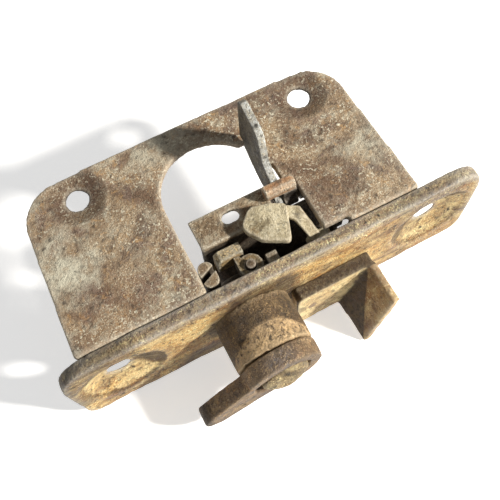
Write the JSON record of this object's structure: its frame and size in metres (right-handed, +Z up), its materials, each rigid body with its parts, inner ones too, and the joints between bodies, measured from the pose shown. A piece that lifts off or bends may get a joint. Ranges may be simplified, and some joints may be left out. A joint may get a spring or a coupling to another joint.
{
  "type": "toggle bolt latch",
  "caption": "Edge-mounted toggle bolt latch: a turn lever on a boss beside a guard fin, and a release lever with pawl and dog behind the face bar.",
  "frame": {"origin": "middle of the face bar's front face, midway between its two screw holes", "axes": "+X along the face bar, +Y into the door, +Z up out of the mounting plate"},
  "size_m": [0.114, 0.068, 0.0532],
  "materials": {
    "plate_patina": "rusty, worn, mottled",
    "bar_patina": "rusty, worn bright on its top edge",
    "cast_rust": "rough cast, rusty",
    "guard_patina": "rusty cast",
    "inner_steel": "dull, rusty",
    "channel_patina": "brown rust over steel",
    "rivet_steel": "dull",
    "bush_brass": "dull",
    "spring_steel": "dark",
    "orange_rust": "orange rust",
    "lever_rust": "worn brown",
    "screw_rust": "worn brown",
    "blade_steel": "dark, worn bright on its edges",
    "pawl_patina": "olive grey",
    "dog_rust": "rusty"
  },
  "bodies": {
    "case": {"mounting_plate": "plate_patina", "face_bar": "bar_patina", "boss_collar": "cast_rust", "guard_bracket": "guard_patina", "back_channel": "channel_patina", "plate_rivets": "rivet_steel", "channel_rivets": "rivet_steel", "guard_rivets": "rivet_steel", "rear_bush": "bush_brass", "pivot_ears": "inner_steel", "release_pin": "rivet_steel", "pawl_pin": "rivet_steel", "dog_pin": "rivet_steel", "stop_block": "channel_patina", "spring_post": "channel_patina", "release_spring": "spring_steel", "pawl_spring": "spring_steel"},
    "toggle": {"toggle_lever": "lever_rust", "toggle_shaft": "inner_steel", "toggle_screw": "screw_rust", "drive_crank": "inner_steel", "shaft_clip": "spring_steel"},
    "release": {"release_lever": "blade_steel", "release_barrel": "inner_steel", "release_foot": "orange_rust"},
    "pawl": {"pawl": "pawl_patina", "pawl_arm": "pawl_patina"},
    "dog": {"lock_dog": "dog_rust", "dog_hook": "dog_rust"}
  },
  "joints": [
    {"name": "toggle_turn", "type": "hinge", "parent": "case", "child": "toggle", "pos_m": [-0.009, 0, 0], "axis": [0, -1, 0], "range_deg": [0, 150]},
    {"name": "release_tilt", "type": "hinge", "parent": "case", "child": "release", "pos_m": [0.009, 0.0183, 0.0127], "axis": [1, 0, 0], "range_deg": [0, 8], "stiffness_Nm_per_rad": 0.01, "springref_deg": -5.73},
    {"name": "pawl_lift", "type": "hinge", "parent": "case", "child": "pawl", "pos_m": [0.013, 0.0055, 0.011], "axis": [0, 1, 0], "range_deg": [0, 4.2]},
    {"name": "dog_swing", "type": "hinge", "parent": "case", "child": "dog", "pos_m": [-0.0054, 0.0059, 0.012], "axis": [0, 0, 1], "range_deg": [0, 7.4]}
  ],
  "couplings": [
    {"joint": "pawl_lift", "follows": "release_tilt", "ratio": 0.5},
    {"joint": "dog_swing", "follows": "release_tilt", "ratio": 0.9}
  ]
}
